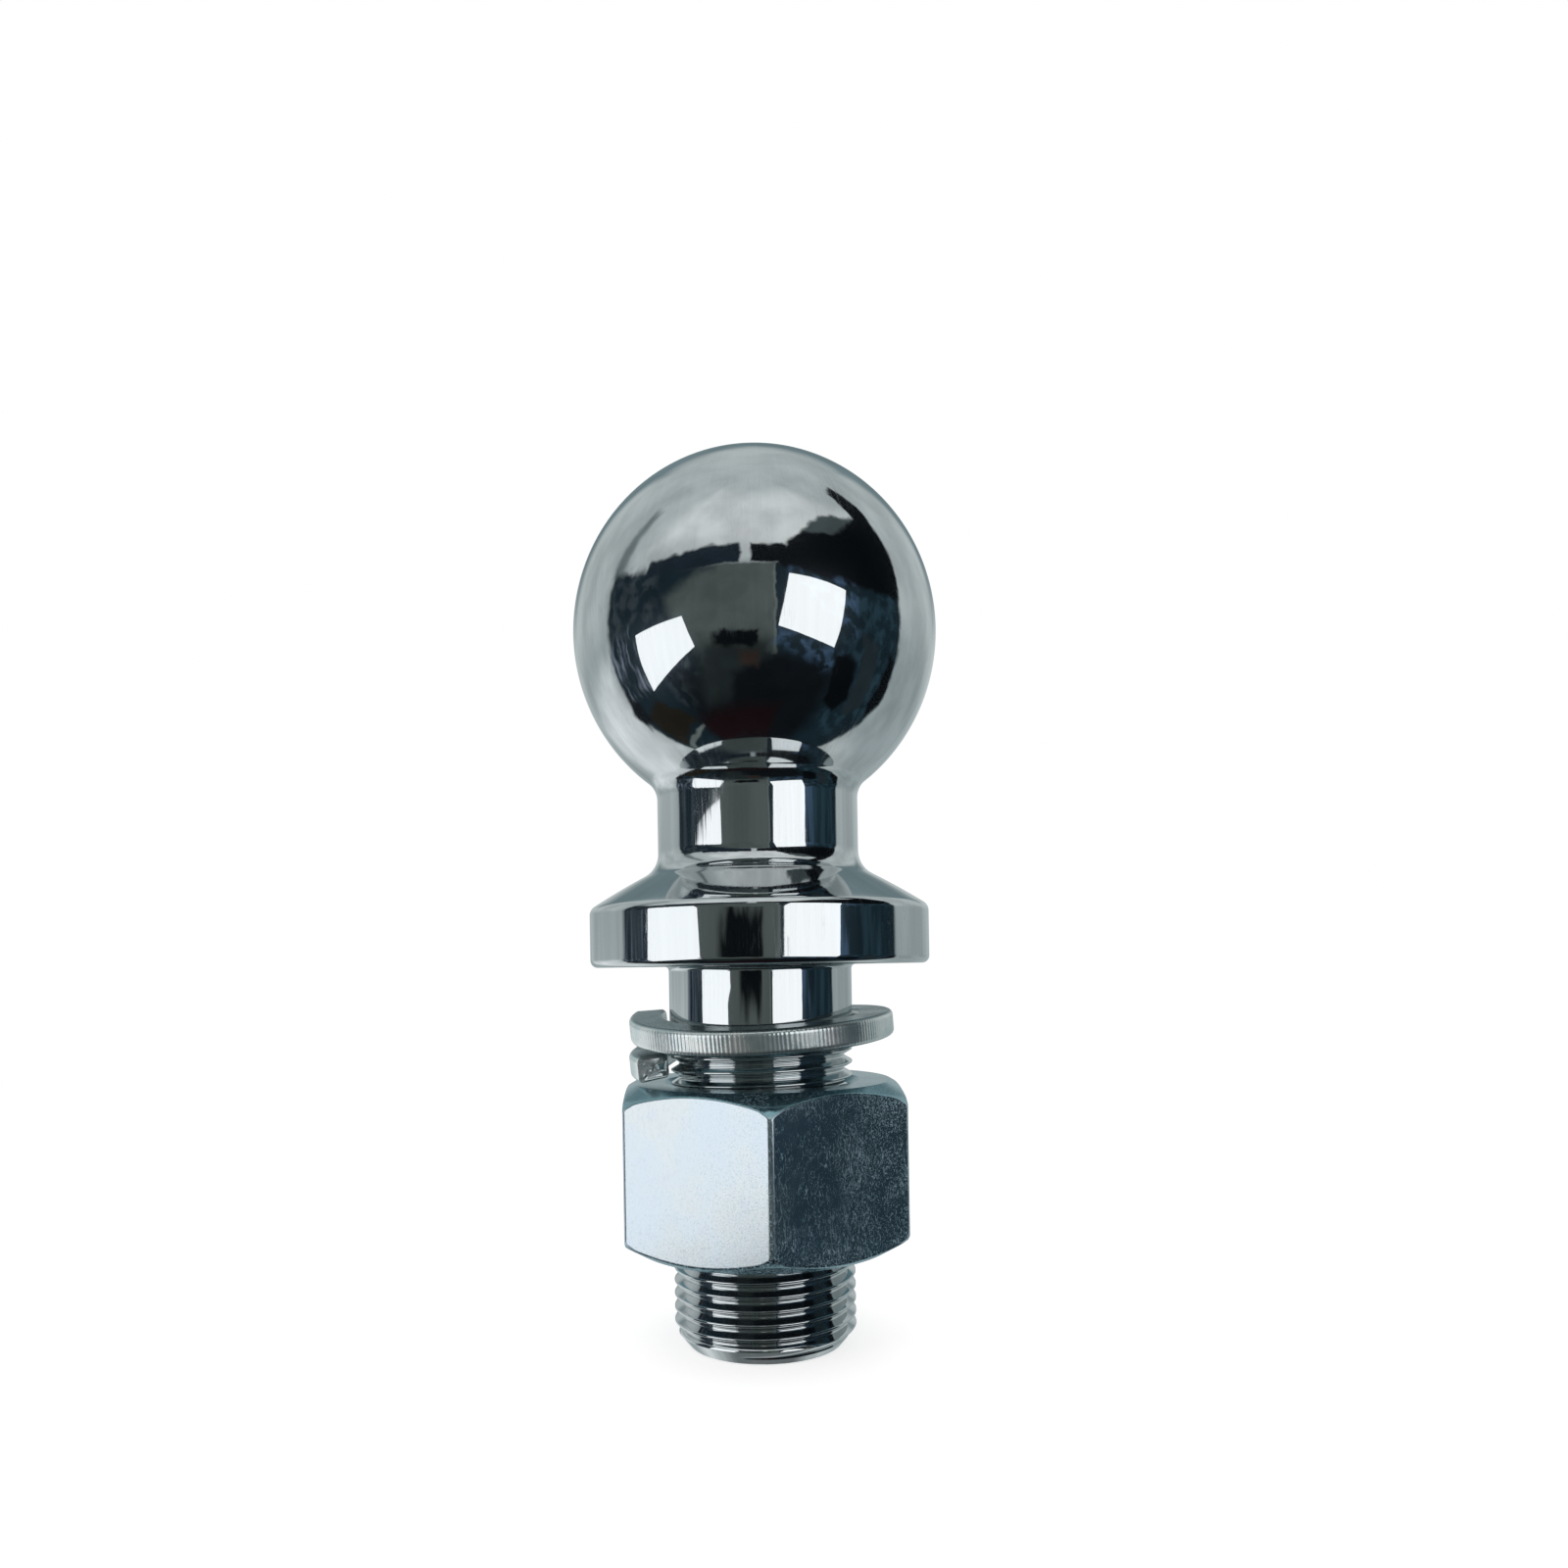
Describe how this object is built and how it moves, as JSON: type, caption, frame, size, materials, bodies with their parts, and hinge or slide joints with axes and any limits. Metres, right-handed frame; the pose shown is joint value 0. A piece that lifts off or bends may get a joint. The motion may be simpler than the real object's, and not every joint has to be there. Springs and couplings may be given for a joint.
{
  "type": "threaded tow ball",
  "caption": "Chromed coupling ball on a waisted neck and sloped flange, with a threaded shank, split spring washer and hexagon nut.",
  "frame": {"origin": "on the ball's axis, in the plane of the flange's underside, which seats on the drawbar", "axes": "+Z along the shank's axis, up through the ball; -Y towards the viewer of the picture"},
  "size_m": [0.05, 0.05, 0.1225],
  "materials": {
    "chrome": "polished chrome plate over forged steel",
    "zinc_washer": "zinc plate over spring steel, with faint draw marks",
    "zinc_nut": "bright zinc plate over steel, with fine scratches"
  },
  "bodies": {
    "stud": {"ball_stud": "chrome"},
    "washer": {"spring_washer": "zinc_washer"},
    "nut": {"hex_nut": "zinc_nut"}
  },
  "joints": [
    {"name": "washer_slide", "type": "slide", "parent": "stud", "child": "washer", "axis": [0, 0, 1], "range_m": [-0.0136, 0.00585]},
    {"name": "nut_turn", "type": "hinge", "parent": "washer", "child": "nut", "pos_m": [0, 0, -0.02715], "axis": [0, 0, 1], "range_deg": [-2698, 1160]}
  ],
  "couplings": [
    {"joint": "washer_slide", "follows": "nut_turn", "m_per_rad": 0.00028875}
  ]
}
